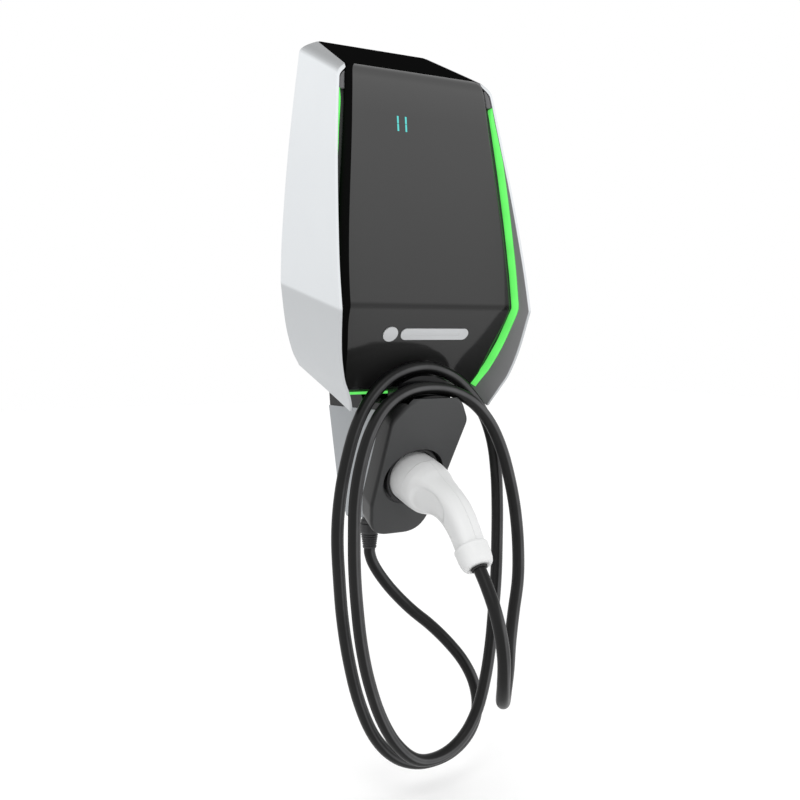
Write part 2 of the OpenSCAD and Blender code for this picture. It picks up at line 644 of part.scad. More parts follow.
wall_bracket();
rear_housing();
side_shell_left();
side_shell_right();
top_cover();
front_frame();
front_panel();
panel_gasket();
light_guide_left();
light_guide_right();
light_guide_bottom();
guide_caps();
led_strips();
display_board();
display_digits();
badge();
reader_board();
main_board();
board_relays();
board_capacitors();
power_module();
board_screws();
selector_base();
current_selector();
button_base();
reset_button();
din_rail();
contactor();
terminal_block();
terminal_screws();
fault_sensor();
supply_gland();
bracket_screws();
cover_screws();
neck_collar();
cable_saddle();
neck_shell();
dock_bezel();
dock_cup();
dock_screws();
output_gland();
output_gland_nut();
inner_lead();
connector_barrel();
connector_insert();
connector_contacts();
connector_shell_left();
connector_shell_right();
connector_screws();
connector_collar();
connector_seal();
cable_main();
cable_tail();
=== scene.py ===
import math

import bmesh
import bpy
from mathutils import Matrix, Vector


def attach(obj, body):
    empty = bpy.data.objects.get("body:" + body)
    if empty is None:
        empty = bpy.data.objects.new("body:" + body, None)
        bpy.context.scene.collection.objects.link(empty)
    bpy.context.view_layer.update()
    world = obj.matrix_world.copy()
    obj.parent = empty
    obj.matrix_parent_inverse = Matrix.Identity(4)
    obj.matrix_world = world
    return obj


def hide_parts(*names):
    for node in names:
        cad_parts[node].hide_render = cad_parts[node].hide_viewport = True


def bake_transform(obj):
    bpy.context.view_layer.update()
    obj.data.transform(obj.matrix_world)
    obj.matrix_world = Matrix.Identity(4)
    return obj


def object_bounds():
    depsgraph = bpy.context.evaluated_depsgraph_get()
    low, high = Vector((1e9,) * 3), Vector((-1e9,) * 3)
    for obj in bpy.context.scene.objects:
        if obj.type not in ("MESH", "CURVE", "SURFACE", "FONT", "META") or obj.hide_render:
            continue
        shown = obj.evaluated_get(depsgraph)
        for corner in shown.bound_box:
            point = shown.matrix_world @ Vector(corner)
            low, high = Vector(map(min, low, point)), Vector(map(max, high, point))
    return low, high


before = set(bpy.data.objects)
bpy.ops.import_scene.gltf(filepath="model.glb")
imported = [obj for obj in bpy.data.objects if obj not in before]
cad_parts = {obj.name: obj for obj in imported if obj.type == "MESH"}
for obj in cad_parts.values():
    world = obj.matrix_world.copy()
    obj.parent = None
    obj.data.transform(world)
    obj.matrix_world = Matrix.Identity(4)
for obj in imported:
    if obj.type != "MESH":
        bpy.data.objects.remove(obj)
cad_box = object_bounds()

# Lengths below are millimetres, and heights are counted from the crease of the front panel, as
# in the part's own source. place() turns them into metres in the row frame.
MM = 0.001
ORIGIN_ABOVE_CREASE = 110


def place(x, y, z):
    return Vector((x, y, z - ORIGIN_ABOVE_CREASE)) * MM


def lerp(a, b, t):
    return a + (b - a) * t


def spaced(first, last, steps):
    """Evenly spaced values from first up to the one before last."""
    return [lerp(first, last, i / steps) for i in range(steps)]


def curve_at(points, at):
    """Value at `at` of the smooth line through (position, value) points, positions rising."""
    last = len(points) - 1
    if at <= points[0][0]:
        return points[0][1]
    if at >= points[last][0]:
        return points[last][1]
    i = next(k for k in range(last) if at <= points[k + 1][0])
    (x0, v0), (x1, v1) = points[i], points[i + 1]
    slope = (v1 - v0) / (x1 - x0)

    def tangent(k):
        if k == 0 or k == last:
            return slope
        (xa, va), (xb, vb), (xc, vc) = points[k - 1], points[k], points[k + 1]
        left, right = (vb - va) / (xb - xa), (vc - vb) / (xc - xb)
        return 0.0 if left * right <= 0 else 2 * left * right / (left + right)

    t, span = (at - x0) / (x1 - x0), x1 - x0
    m0, m1 = tangent(i) * span, tangent(i + 1) * span
    return ((2 * t**3 - 3 * t**2 + 1) * v0 + (t**3 - 2 * t**2 + t) * m0
            + (-2 * t**3 + 3 * t**2) * v1 + (t**3 - t**2) * m1)


def soft_min(a, b, radius):
    """The smaller of a and b, rounded where they cross."""
    overlap = max(radius - abs(a - b), 0) / radius
    return min(a, b) - overlap * overlap * radius / 4


# ================= camera and view =================
scene = bpy.context.scene
scene.view_settings.view_transform = "Standard"
camera = bpy.data.objects.new("camera", bpy.data.cameras.new("camera"))
scene.collection.objects.link(camera)
camera.location = (-0.5693, -1.0505, -0.137)
camera.rotation_euler = (math.radians(86.11), 0, math.radians(-30))
camera.data.lens = 44.37
camera.data.sensor_width = 36
scene.camera = camera


# ================= mesh helpers =================
def link(obj):
    scene.collection.objects.link(obj)
    return obj


def new_mesh(name, verts, faces):
    mesh = bpy.data.meshes.new(name)
    mesh.from_pydata([tuple(v) for v in verts], [], faces)
    work = bmesh.new()
    work.from_mesh(mesh)
    bmesh.ops.remove_doubles(work, verts=work.verts, dist=1e-6)
    bmesh.ops.recalc_face_normals(work, faces=work.faces)
    work.to_mesh(mesh)
    work.free()
    for polygon in mesh.polygons:
        polygon.use_smooth = True
    return link(bpy.data.objects.new(name, mesh))


def bevel(obj, width, angle=35, segments=3):
    """Rounds the sharp edges and keeps flat faces flat in the shading."""
    edge = obj.modifiers.new("edges", "BEVEL")
    edge.width = width * MM
    edge.segments = segments
    edge.limit_method = "ANGLE"
    edge.angle_limit = math.radians(angle)
    obj.modifiers.new("normals", "WEIGHTED_NORMAL").keep_sharp = True


def apply_modifiers(obj):
    graph = bpy.context.evaluated_depsgraph_get()
    graph.update()
    mesh = bpy.data.meshes.new_from_object(obj.evaluated_get(graph))
    obj.modifiers.clear()
    obj.data = mesh


def cut(obj, tools):
    """Takes the tool meshes away from obj and removes them."""
    for tool in tools:
        modifier = obj.modifiers.new("cut", "BOOLEAN")
        modifier.operation = "DIFFERENCE"
        modifier.solver = "EXACT"
        modifier.object = tool
    apply_modifiers(obj)
    for tool in tools:
        bpy.data.objects.remove(tool, do_unlink=True)


def finish_piece(obj, body, material, replaced):
    if len(obj.data.materials) == 0:
        obj.data.materials.append(material)
    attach(obj, body)
    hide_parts(*replaced)


def grid_faces(rows, columns, offset=0, flip=False):
    faces = []
    for r in range(rows - 1):
        for c in range(columns - 1):
            a = offset + r * columns + c
            quad = (a, a + 1, a + columns + 1, a + columns)
            faces.append(quad[::-1] if flip else quad)
    return faces


def closed_sheet(name, front, back):
    """A solid between two grids of points that share their rows and columns."""
    rows, columns = len(front), len(front[0])
    count = rows * columns
    verts = [p for row in front for p in row] + [p for row in back for p in row]
    faces = grid_faces(rows, columns) + grid_faces(rows, columns, count, True)
    rim = ([(0, c) for c in range(columns)] + [(r, columns - 1) for r in range(1, rows)]
           + [(rows - 1, c) for c in range(columns - 2, -1, -1)]
           + [(r, 0) for r in range(rows - 2, 0, -1)])
    for i, (r, c) in enumerate(rim):
        r2, c2 = rim[(i + 1) % len(rim)]
        a, b = r * columns + c, r2 * columns + c2
        faces.append((a, b, b + count, a + count))
    return new_mesh(name, verts, faces)


def skin(name, rings):
    """A closed skin over rings of points that each have the same count."""
    n = len(rings[0])
    verts = [p for ring in rings for p in ring]
    faces = []
    for i in range(len(rings) - 1):
        for k in range(n):
            k2 = (k + 1) % n
            faces.append((i * n + k, i * n + k2, (i + 1) * n + k2, (i + 1) * n + k))
    faces.append(tuple(range(n)))
    faces.append(tuple((len(rings) - 1) * n + k for k in range(n)))
    return new_mesh(name, verts, faces)


def turned(name, profile, origin, axis, side, segments=96):
    """A closed profile of (radius, distance) points turned about an axis."""
    other = axis.cross(side)
    verts, faces, n = [], [], len(profile)
    for s in range(segments):
        a = 2 * math.pi * s / segments
        radial = side * math.cos(a) + other * math.sin(a)
        verts += [origin + (radial * r + axis * d) * MM for r, d in profile]
    for s in range(segments):
        s2 = (s + 1) % segments
        for k in range(n):
            k2 = (k + 1) % n
            faces.append((s * n + k, s * n + k2, s2 * n + k2, s2 * n + k))
    return new_mesh(name, verts, faces)


# ================= materials =================
def surface(name, color, roughness, tone=0.04, tone_scale=9.0, grain=0.03, grain_scale=900.0,
            rough_spread=0.06, metallic=0.0, specular=0.5, stretch=None):
    """A moulded, painted or metal finish: a slow change of tone, a change of roughness, and a
    fine grain in the bump. stretch makes the grain run along one axis, as brushing does."""
    material = bpy.data.materials.new(name)
    material.use_nodes = True
    nodes, links = material.node_tree.nodes, material.node_tree.links
    shader = nodes["Principled BSDF"]
    shader.inputs["Metallic"].default_value = metallic
    shader.inputs["Specular IOR Level"].default_value = specular
    where = nodes.new("ShaderNodeTexCoord")

    slow = nodes.new("ShaderNodeTexNoise")
    slow.inputs["Scale"].default_value = tone_scale
    slow.inputs["Detail"].default_value = 3
    links.new(where.outputs["Object"], slow.inputs["Vector"])
    ramp = nodes.new("ShaderNodeValToRGB")
    ramp.color_ramp.elements[0].position = 0.3
    ramp.color_ramp.elements[1].position = 0.7
    ramp.color_ramp.elements[0].color = (*[c * (1 - tone) for c in color], 1)
    ramp.color_ramp.elements[1].color = (*[min(c * (1 + tone), 1) for c in color], 1)
    links.new(slow.outputs["Fac"], ramp.inputs["Fac"])
    links.new(ramp.outputs["Color"], shader.inputs["Base Color"])

    fine = nodes.new("ShaderNodeTexNoise")
    fine.inputs["Scale"].default_value = grain_scale
    fine.inputs["Detail"].default_value = 2
    if stretch:
        mapping = nodes.new("ShaderNodeMapping")
        mapping.inputs["Scale"].default_value = stretch
        links.new(where.outputs["Object"], mapping.inputs["Vector"])
        links.new(mapping.outputs["Vector"], fine.inputs["Vector"])
    else:
        links.new(where.outputs["Object"], fine.inputs["Vector"])
    rough = nodes.new("ShaderNodeMapRange")
    rough.inputs["To Min"].default_value = max(roughness - rough_spread, 0.02)
    rough.inputs["To Max"].default_value = roughness + rough_spread
    links.new(fine.outputs["Fac"], rough.inputs["Value"])
    links.new(rough.outputs["Result"], shader.inputs["Roughness"])
    bump = nodes.new("ShaderNodeBump")
    bump.inputs["Strength"].default_value = grain
    bump.inputs["Distance"].default_value = 0.0004
    links.new(fine.outputs["Fac"], bump.inputs["Height"])
    links.new(bump.outputs["Normal"], shader.inputs["Normal"])
    return material


def paint_light_along(material, output, direction, stops, low, high):
    """Paints light and shade: greys along a direction of the object's coordinates or normals,
    from low to high, which are multiplied into the base colour. A stop is its share of the way
    and its grey."""
    nodes, links = material.node_tree.nodes, material.node_tree.links
    shader = nodes["Principled BSDF"]
    where = nodes.new("ShaderNodeTexCoord")
    dot = nodes.new("ShaderNodeVectorMath")
    dot.operation = "DOT_PRODUCT"
    dot.inputs[1].default_value = direction
    links.new(where.outputs[output], dot.inputs[0])
    height = nodes.new("ShaderNodeMapRange")
    height.inputs["From Min"].default_value = low
    height.inputs["From Max"].default_value = high
    links.new(dot.outputs["Value"], height.inputs["Value"])
    ramp = nodes.new("ShaderNodeValToRGB")
    elements = ramp.color_ramp.elements
    while len(elements) < len(stops):
        elements.new(0.5)
    for element, (at, grey) in zip(elements, stops):
        element.position = at
        element.color = (grey, grey, grey, 1)
    links.new(height.outputs["Result"], ramp.inputs["Fac"])
    mix = nodes.new("ShaderNodeMix")
    mix.data_type = "RGBA"
    mix.blend_type = "MULTIPLY"
    mix.inputs["Factor"].default_value = 1
    source = shader.inputs["Base Color"].links[0].from_socket
    links.new(source, mix.inputs["A"])
    links.new(ramp.outputs["Color"], mix.inputs["B"])
    links.new(mix.outputs["Result"], shader.inputs["Base Color"])


GLOW_SPREAD = 0.2


def glowing(name, color, strength, base):
    """A lit diffuser: the glow varies a little along its length."""
    material = surface(name, base, 0.35, tone=0.05)
    nodes, links = material.node_tree.nodes, material.node_tree.links
    shader = nodes["Principled BSDF"]
    where = nodes.new("ShaderNodeTexCoord")
    wave = nodes.new("ShaderNodeTexNoise")
    wave.inputs["Scale"].default_value = 40
    links.new(where.outputs["Object"], wave.inputs["Vector"])
    ramp = nodes.new("ShaderNodeValToRGB")
    ramp.color_ramp.elements[0].color = (*[c * (1 - GLOW_SPREAD) for c in color], 1)
    ramp.color_ramp.elements[1].color = (*[min(c * (1 + GLOW_SPREAD), 1) for c in color], 1)
    links.new(wave.outputs["Fac"], ramp.inputs["Fac"])
    links.new(ramp.outputs["Color"], shader.inputs["Emission Color"])
    shader.inputs["Emission Strength"].default_value = strength
    return material


white = surface("shell_white", (0.74, 0.765, 0.785), 0.42, tone=0.012, grain=0.04, specular=0.35)
fin_grey = surface("fin_grey", (0.29, 0.285, 0.295), 0.5, tone=0.04, grain=0.05, specular=0.2)
roof_black = surface("roof_black", (0.004, 0.004, 0.004), 0.5, grain=0.01, specular=0.0)
# Black for the panel's turned-in faces, and painted shade along its sides.
rim_black_and_painted_shade = surface("rim_black_and_painted_shade", (0.004, 0.004, 0.004), 0.5, grain=0.01, specular=0.0)
panel = surface("panel_gloss", (1, 1, 1), 0.10, tone=0.02, grain=0.004, rough_spread=0.02,
                specular=0.35)
frame_black = surface("frame_black", (0.012, 0.012, 0.013), 0.5, grain=0.1)
housing = surface("housing_plastic", (0.02, 0.02, 0.021), 0.55, grain=0.25, grain_scale=1400)
rubber = surface("gasket_rubber", (0.02, 0.02, 0.02), 0.75, grain=0.3)
guide = glowing("guide_green", (0.13, 0.80, 0.13), 0.85, (0.05, 0.35, 0.05))
cap_grey = surface("cap_grey", (0.13, 0.13, 0.133), 0.45, specular=0.2)
board = surface("circuit_board", (0.01, 0.09, 0.035), 0.35, tone=0.15, tone_scale=120,
                grain=0.2, grain_scale=500)
cyan = glowing("digit_cyan", (0.09, 0.50, 0.46), 0.9, (0.02, 0.2, 0.2))
badge_grey = surface("badge_grey", (0.55, 0.56, 0.57), 0.32, grain=0.05, metallic=0.3)
dark_part = surface("component_dark", (0.02, 0.021, 0.024), 0.5, grain=0.15)
sleeve = surface("capacitor_sleeve", (0.02, 0.03, 0.07), 0.25, grain=0.03)
zinc = surface("zinc", (0.55, 0.56, 0.58), 0.34, tone=0.1, tone_scale=60, grain=0.1,
               grain_scale=300, metallic=1.0, stretch=(1, 1, 0.06))
terminal = surface("terminal_grey", (0.42, 0.44, 0.46), 0.5, grain=0.12)
device = surface("device_white", (0.62, 0.63, 0.64), 0.45, grain=0.12)
blue = surface("selector_blue", (0.02, 0.12, 0.40), 0.4, grain=0.08)
knob = surface("knob_white", (0.72, 0.72, 0.71), 0.38, grain=0.08)
red = surface("button_red", (0.50, 0.03, 0.02), 0.36, grain=0.08)
gland_black = surface("gland_black", (0.012, 0.012, 0.013), 0.45, grain=0.12)
saddle_black = surface("saddle_black", (0.004, 0.004, 0.0045), 0.2, grain=0.02, specular=0.3)
neck_grey = surface("neck_grey", (0.345, 0.36, 0.375), 0.45, tone=0.03, grain=0.05, specular=0.25)
graphite = surface("bezel_graphite", (0.060, 0.061, 0.062), 0.34, specular=0.15, tone=0.04,
                   grain=0.1, grain_scale=1800, rough_spread=0.08)
cup_black = surface("cup_black", (0.008, 0.008, 0.009), 0.4, grain=0.1)
jacket = surface("cable_jacket", (0.075, 0.075, 0.077), 0.36, tone=0.25, tone_scale=25,
                 grain=0.2, grain_scale=1600, specular=0.22)
plug_white = surface("connector_white", (0.74, 0.745, 0.745), 0.36, specular=0.35, tone=0.012,
                     grain=0.05)
insert_black = surface("insert_black", (0.02, 0.02, 0.022), 0.5, grain=0.15)
plated = surface("contact_plated", (0.70, 0.62, 0.42), 0.25, metallic=1.0, grain=0.05)
# The panel's own dark colour, with painted reflection and shade: dark below its crease with a
# painted dark line of shade along it, lighter above it where reflection is painted, and dark
# again along its top edge.
PANEL_REFLECTION_AND_SHADE = [(0.0, 0.012), (0.255, 0.028), (0.262, 0.008), (0.271, 0.012), (0.279, 0.036),
               (0.85, 0.052), (0.96, 0.065), (1.0, 0.03)]
paint_light_along(panel, "Object", (0, 0, 1), PANEL_REFLECTION_AND_SHADE, -0.202, 0.150)
# Painted shade on the side shells: darker below their raked crease, and darker on their chamfers
# by the way they face.
RAKE = 0.22
SHELL_PAINTED_SHADE = [(0.0, 0.68), (0.331, 0.64), (0.339, 0.90), (1.0, 1.0)]
paint_light_along(white, "Object", (0, -RAKE, 1), SHELL_PAINTED_SHADE, -0.220, 0.198)
paint_light_along(white, "Normal", (0, 0, 1), [(0.0, 1), (0.45, 0.78), (1.0, 0.35)], 0.3, 0.82)
# A painted highlight streak along the cable, and painted shade darkening the flanks of the
# connector and the dock's plate by the way they face.
JACKET_PAINTED_HIGHLIGHT = [(0.0, 0.06), (0.35, 0.08), (0.8, 1.0), (1.0, 0.6)]
paint_light_along(jacket, "Normal", (0.25, -0.965, 0.05), JACKET_PAINTED_HIGHLIGHT, 0.80, 1.0)
paint_light_along(plug_white, "Normal", (-0.7, 0.5, -0.5), [(0.0, 1), (1.0, 0.76)], 0.1, 1.0)
paint_light_along(graphite, "Normal", (-1, 0, 0), [(0.0, 1), (0.6, 0.45), (1.0, 0.3)], 0.1, 0.9)

# ================= cables =================
CABLE_D = 13.8
MAIN_ROUTE = [
    (-16, -19, -284), (-16, -19, -290), (-13, -21, -302), (-5, -26, -318), (8, -33, -337),
    (27, -43, -359), (49, -55, -380), (68, -66, -402), (83, -76, -425), (92, -84, -450),
    (92, -91, -476), (80, -97, -498), (58, -102, -514), (29, -106, -521), (-5, -109, -518),
    (-36, -111, -502), (-61, -112, -473), (-79, -112, -432), (-91, -112, -386),
    (-99, -112, -338), (-103, -112, -292), (-105, -112, -246), (-102, -112, -206),
    (-94, -112, -166), (-81, -112, -126), (-62, -112, -95), (-34, -112, -73), (4, -112, -65),
    (38, -113, -75), (62, -115, -95), (80, -118, -120), (92, -119, -152), (97, -120, -188),
    (99, -120, -226), (99, -120, -266), (98, -120, -308), (94, -121, -350), (89, -122, -392),
    (80, -124, -432), (66, -126, -468), (45, -128, -493), (16, -130, -506), (-16, -132, -503),
    (-43, -133, -480), (-63, -133, -446), (-78, -133, -403), (-87, -133, -362),
    (-92, -133, -322), (-95, -133, -282), (-95, -132, -242), (-93, -131, -204),
    (-86, -131, -166), (-74, -131, -132), (-56, -131, -106), (-30, -131, -91), (0, -131, -87),
    (30, -132, -92), (56, -134, -106), (76, -137, -129), (89, -141, -158), (97, -146, -192),
    (101, -152, -228), (101, -158, -266), (96, -165, -304), (85, -172, -340),
]
TAIL_ROUTE = [
    (74, -181, -370), (62, -194, -395), (47, -210, -410), (31, -229, -413), (16, -247, -403),
    (7, -261, -381), (3, -267, -354), (1, -264, -328), (0, -254, -303), (0, -240, -283),
    (0, -228, -269), (0, -217, -256), (0, -206, -243),
]


def smooth_path(points, steps):
    """Points on one smooth curve through all the given ones."""
    out = []
    last = len(points) - 1
    for i in range(last):
        p0, p1 = points[max(i - 1, 0)], points[i]
        p2, p3 = points[i + 1], points[min(i + 2, last)]
        reach = (p2 - p1).length
        before = (p2 - p0).normalized() * reach
        after = (p3 - p1).normalized() * reach
        for k in range(steps):
            t = k / steps
            out.append(p1 * (2 * t**3 - 3 * t**2 + 1) + before * (t**3 - 2 * t**2 + t)
                       + p2 * (-2 * t**3 + 3 * t**2) + after * (t**3 - t**2))
    return out + [points[last]]


def tube_rings(path, radius, sides, side):
    """Rings of points round a path, the first one starting towards side."""
    rings = []
    for i, point in enumerate(path):
        along = (path[min(i + 1, len(path) - 1)] - path[max(i - 1, 0)]).normalized()
        side = (side - along * side.dot(along)).normalized()
        other = along.cross(side)
        rings.append([point + (side * math.cos(2 * math.pi * k / sides)
                               + other * math.sin(2 * math.pi * k / sides)) * radius
                      for k in range(sides)])
    return rings


PATH_STEPS = 6
CABLE_SIDES = 24
whole_path = smooth_path([place(*p) for p in MAIN_ROUTE + TAIL_ROUTE], PATH_STEPS)
split = (len(MAIN_ROUTE) - 1) * PATH_STEPS
cable_rings = tube_rings(whole_path, CABLE_D / 2 * MM, CABLE_SIDES, Vector((0, -1, 0)))


def with_end_loops(rings, share=0.01):
    """Loops close to both ends, which keep the flat ends out of the sides' shading."""
    first = [a.lerp(b, share) for a, b in zip(rings[0], rings[1])]
    last = [a.lerp(b, share) for a, b in zip(rings[-1], rings[-2])]
    return [rings[0], first] + rings[1:-1] + [last, rings[-1]]


cable = skin("charging_cable", with_end_loops(cable_rings[:split + 1]))
finish_piece(cable, "charger", jacket, ["cable_main"])
tail = skin("charging_cable_end", with_end_loops(cable_rings[split:]))
tail.data.materials.append(jacket)
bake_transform(tail)
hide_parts("cable_tail")

# ================= head =================
# Half the head's width at each height along the side, above and below the side's crease.
CREASE_AT = 31
SIDE_LOW = [(-150, 86), (-87, 90.5), (-66, 98), (-47, 107.5), (-13, 116), (CREASE_AT, 121.2)]
SIDE_HIGH = [(CREASE_AT, 121.2), (65, 120.2), (118, 116.5), (178, 110.8), (238, 103.5),
             (299, 95.5), (315, 94)]
HEAD_TOP = 308
# Half the flat roof's width at the wall and at its front edge, its depth and its fall.
ROOF_BACK, ROOF_FRONT = 71.7, 86.6
ROOF_DEPTH, ROOF_FALL = 97, 48.5
ROOF_EDGE = Vector((ROOF_FRONT - ROOF_BACK, -ROOF_DEPTH, -ROOF_FALL))
CHAMFER_AT_WALL = Vector((23.8, 0, -9))
CHAMFER = ROOF_EDGE.cross(CHAMFER_AT_WALL).normalized()
CHAMFER_ROUND = 18
SHELL_T = 3.5


def side_x(y, z, inset):
    """Half width of the head's side, inset by a thickness."""
    along = z - RAKE * y
    return curve_at(SIDE_HIGH if along >= CREASE_AT else SIDE_LOW, along) - inset


def chamfer_x(y, z, inset):
    """Half width of the chamfer's plane between the side and the roof."""
    return ROOF_BACK + (-inset - CHAMFER.y * y - CHAMFER.z * (z - HEAD_TOP)) / CHAMFER.x


def roof_x(y):
    return lerp(ROOF_BACK, ROOF_FRONT, min(-y / ROOF_DEPTH, 1))


def head_x(y, z, inset):
    return soft_min(side_x(y, z, inset), chamfer_x(y, z, inset), CHAMFER_ROUND)


# Depth of the shell's front edge at each height along the side, below and above its corner.
SHELL_FOOT, SHELL_CORNER, SHELL_BEND, SHELL_TOP = -86, 30.7, 230.7, 280.8
SHELL_FRONT_LOW = [(SHELL_FOOT, -114), (-65.7, -124), (SHELL_CORNER, -152.6)]
SHELL_FRONT_HIGH = [(SHELL_CORNER, -152.6), (130, -132.6), (238.8, -110), (256, -107),
                    (267, -104.6), (274, -101.8), (278.5, -99.2), (SHELL_TOP, -97)]
# How far the shell's foot and top rise from the front edge to the wall.
FOOT_RISE, TOP_RISE = 21.8, 26.9


def shell_edge_y(share):
    return curve_at(SHELL_FRONT_HIGH if share >= SHELL_CORNER else SHELL_FRONT_LOW, share)


def shell_point(share, back, inset):
    """share runs up the front edge, back runs from the wall to that edge."""
    below = max(0, (SHELL_CORNER - share) / (SHELL_CORNER - SHELL_FOOT))
    above = max(0, (share - SHELL_CORNER) / (SHELL_TOP - SHELL_CORNER))
    y = lerp(-1, shell_edge_y(share), back)
    along = lerp(share + FOOT_RISE * below + TOP_RISE * above, share, back)
    z = along + RAKE * y
    return max(head_x(y, z, inset), roof_x(y) + 0.3), y, z


shares = (spaced(SHELL_FOOT, SHELL_CORNER, 24) + spaced(SHELL_CORNER, SHELL_BEND, 36)
          + spaced(SHELL_BEND, SHELL_TOP, 20) + [SHELL_TOP])
backs = spaced(0, 1, 30) + [1]


def shell_grid(side, inset):
    return [[place(side * x, y, z) for x, y, z in (shell_point(s, b, inset) for b in backs)]
            for s in shares]


for side, word in ((1, "right"), (-1, "left")):
    shell = closed_sheet("side_cover_" + word, shell_grid(side, 0), shell_grid(side, SHELL_T))
    for finish in (white, fin_grey):
        shell.data.materials.append(finish)
    for polygon in shell.data.polygons:
        if side * polygon.normal.x < -0.5:
            polygon.material_index = 1
    bevel(shell, 1.1)
    finish_piece(shell, "charger", white, ["side_shell_" + word])

# The black front's side line above the crease, as (height, depth).
PANEL_FOOT, PANEL_TOP = -92, 259.5
FRONT_HIGH = [(0, -130), (216, -108.5), (240, -105.6), (251, -103), (256, -100.6),
              (PANEL_TOP, -97)]
UPPER_LEAN = -21.5 / 216
LOWER_LEAN = (130 - 57.7) / 128
CREASE_ROUND = 3
# Half the panel's width at each height. Above PANEL_FREE it no longer follows the shells.
PANEL_FREE = 251
PANEL_HALF = [(PANEL_FOOT, 88), (-86, 92), (-46, 101), (0, 110), (216, 91.5), (250, 88.5),
              (256, 86.5), (PANEL_TOP, 83)]
PANEL_T = 4
GUIDE_T = 3.3
SLOT_GAP = 0.4


def front_y(z):
    upper = curve_at(FRONT_HIGH, z) if z > 0 else -130 + z * UPPER_LEAN
    lower = -130 - LOWER_LEAN * z
    return -soft_min(-upper, -lower, CREASE_ROUND)


def front_frame_at(z):
    """Point on the front's side line and its inward normal, in the plane x = 0."""
    step = 0.3
    low, high = max(z - step, PANEL_FOOT - 8), min(z + step, PANEL_TOP)
    along = Vector((0, front_y(high) - front_y(low), high - low)).normalized()
    return Vector((0, front_y(z), z)), Vector((0, along.z, -along.y))


def panel_half(z):
    half = curve_at(PANEL_HALF, z)
    if z >= PANEL_FREE:
        return half
    return min(half, side_x(front_y(z), z, SHELL_T + GUIDE_T + SLOT_GAP))


# The panel's sides roll back over ROLL, and its foot over FOOT_ROLL.
ROLL, ROLL_DEPTH = 5, 3.2
FOOT_ROLL, FOOT_DEPTH = 3, 1.5
# A black border painted as shade along the panel's rolled sides: its width on the left at the
# crease and at the top, and on the right.
SHADE_BORDER_LOW, SHADE_BORDER_HIGH, SHADE_BORDER_R = 13.0, 8.0, 1.2
SHADE_BORDER_TOP = 216
PANEL_COLUMNS = 16
edge_steps = [0, 0.2, 0.6, 1.2, 2, 3, 4, ROLL]
heights = ([PANEL_FOOT, -91.7, -91, -89, -86, -80] + [-76 + 6 * i for i in range(13)]
           + [-3, -2, -1, 0, 1, 2, 3] + [6 + 10 * i for i in range(22)]
           + [220 + 4 * i for i in range(8)]
           + [PANEL_FREE, 253.5, 255.5, 257, 258.2, 259, PANEL_TOP])


def shade_border_width(z):
    return lerp(SHADE_BORDER_LOW, SHADE_BORDER_HIGH, min(max(z / SHADE_BORDER_TOP, 0), 1))


def rolled(reach, depth):
    """Depth of a quarter-round edge, reach running from 0 at its start to 1 at its end."""
    return depth * (1 - math.sqrt(1 - reach * reach))


def panel_row(z, under):
    point, inward = front_frame_at(z)
    half = panel_half(z)
    offsets = [-half + e for e in edge_steps]
    offsets += [lerp(-half + shade_border_width(z), half - ROLL, i / PANEL_COLUMNS)
                for i in range(PANEL_COLUMNS)]
    offsets += [half - e for e in reversed(edge_steps)]
    foot = max(0, 1 - (z - PANEL_FOOT) / FOOT_ROLL)
    row = []
    for x in offsets:
        reach = min(max(1 - (half - abs(x)) / ROLL, 0), 1)
        depth = PANEL_T if under else max(rolled(reach, ROLL_DEPTH), FOOT_DEPTH * foot * foot)
        p = point + inward * depth
        row.append(place(x, p.y, p.z))
    return row


front = closed_sheet("front_glass", [panel_row(z, False) for z in heights],
                     [panel_row(z, True) for z in heights])
front.data.materials.append(panel)
front.data.materials.append(rim_black_and_painted_shade)
# Painted shade: the black rim material goes on the border along the panel's sides and on the
# faces turned in behind it.
for polygon in front.data.polygons:
    centre = polygon.center / MM
    z = centre.z + ORIGIN_ABOVE_CREASE
    shade_border = shade_border_width(z) if centre.x < 0 else SHADE_BORDER_R
    turned_in = centre.y > front_y(z) + PANEL_T / 2
    if abs(centre.x) > panel_half(z) - shade_border or turned_in:
        polygon.material_index = 1
finish_piece(front, "charger", panel, ["front_panel"])

# Roof: a black strip from the wall to the panel's top edge, with rolled sides.
ROOF_T, ROOF_ROLL, ROOF_ROLL_DEPTH = 4, 3, 1.2
ROOF_COLUMNS = 12
ROOF_SLOPE = 0.5
# The strip narrows over its front end, from this share of its depth on.
ROOF_NARROWS, ROOF_NARROWING = 0.8, 90
WALL_GAP = 0.3
roof_steps = [0.0, 0.02] + [0.1 * i for i in range(1, 10)] + [0.95, 0.98, 1.0]
roof_edges = [0, 0.5, 1.5]


def roof_row(share, under):
    """share runs from the wall to the front."""
    y = lerp(-1, -ROOF_DEPTH, share)
    z = HEAD_TOP + ROOF_SLOPE * y
    half = roof_x(y) - max(0, share - ROOF_NARROWS) ** 2 * ROOF_NARROWING
    inward = Vector((0, ROOF_SLOPE, -1)).normalized()
    offsets = [-half + e for e in roof_edges]
    offsets += [lerp(-half + ROOF_ROLL, half - ROOF_ROLL, i / ROOF_COLUMNS)
                for i in range(ROOF_COLUMNS + 1)]
    offsets += [half - e for e in reversed(roof_edges)]
    row = []
    for x in offsets:
        reach = min(max(1 - (half - abs(x)) / ROOF_ROLL, 0), 1)
        depth = ROOF_T if under else rolled(reach, ROOF_ROLL_DEPTH)
        p = Vector((x, y, z)) + inward * depth
        row.append(place(p.x, min(p.y, -WALL_GAP), p.z))
    return row


roof = closed_sheet("roof_cover", [roof_row(s, False) for s in roof_steps],
                    [roof_row(s, True) for s in roof_steps])
finish_piece(roof, "charger", roof_black, ["top_cover"])

